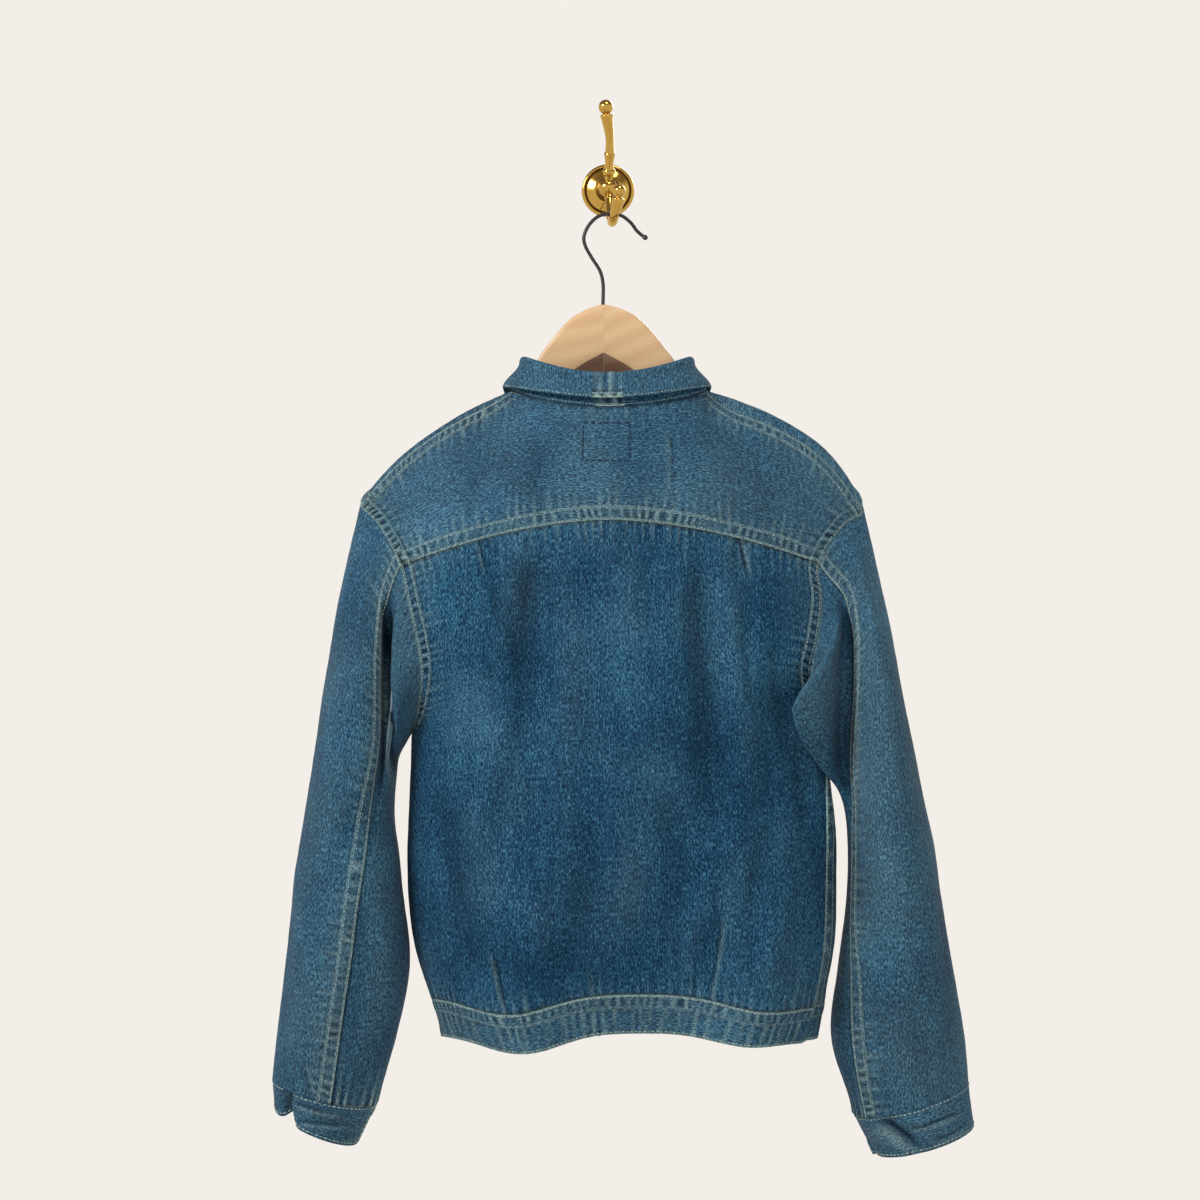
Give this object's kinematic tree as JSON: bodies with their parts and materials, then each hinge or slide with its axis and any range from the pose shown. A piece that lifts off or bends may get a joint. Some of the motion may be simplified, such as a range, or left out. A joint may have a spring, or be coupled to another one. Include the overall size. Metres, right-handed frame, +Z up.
{
  "type": "denim jacket on a hanger and wall hook",
  "caption": "Short denim jacket with pleated back, yoke and waistband, hung empty on a wooden hanger from a brass wall hook, its back to the room.",
  "frame": {"origin": "centre of the wall hook's back face, on the wall", "axes": "+Z up, +Y into the wall, +X to the right of someone who faces the wall"},
  "size_m": [0.6328, 0.154, 0.9544],
  "materials": {
    "denim": "washed indigo denim, faded at the seams",
    "wood": "clear satin varnish on beech",
    "black_wire": "black lacquered steel wire",
    "brass": "polished, slightly aged",
    "buttons": "worn copper-coloured shank buttons"
  },
  "bodies": {
    "root": {"back_yoke": "denim", "back_body": "denim", "front_left": "denim", "front_right": "denim", "front_band": "denim", "waistband": "denim", "collar_stand": "denim", "collar_leaf": "denim", "sleeve_left_under": "denim", "sleeve_left_upper": "denim", "cuff_left": "denim", "sleeve_right_under": "denim", "sleeve_right_upper": "denim", "cuff_right": "denim", "front_button_1": "buttons", "front_button_2": "buttons", "front_button_3": "buttons", "front_button_4": "buttons", "front_button_5": "buttons", "hanger_arm_left": "wood", "hanger_arm_right": "wood", "hanger_hook": "black_wire", "wall_hook_rose": "brass", "wall_hook_upper_prong": "brass", "wall_hook_lower_prong": "brass"}
  },
  "joints": []
}
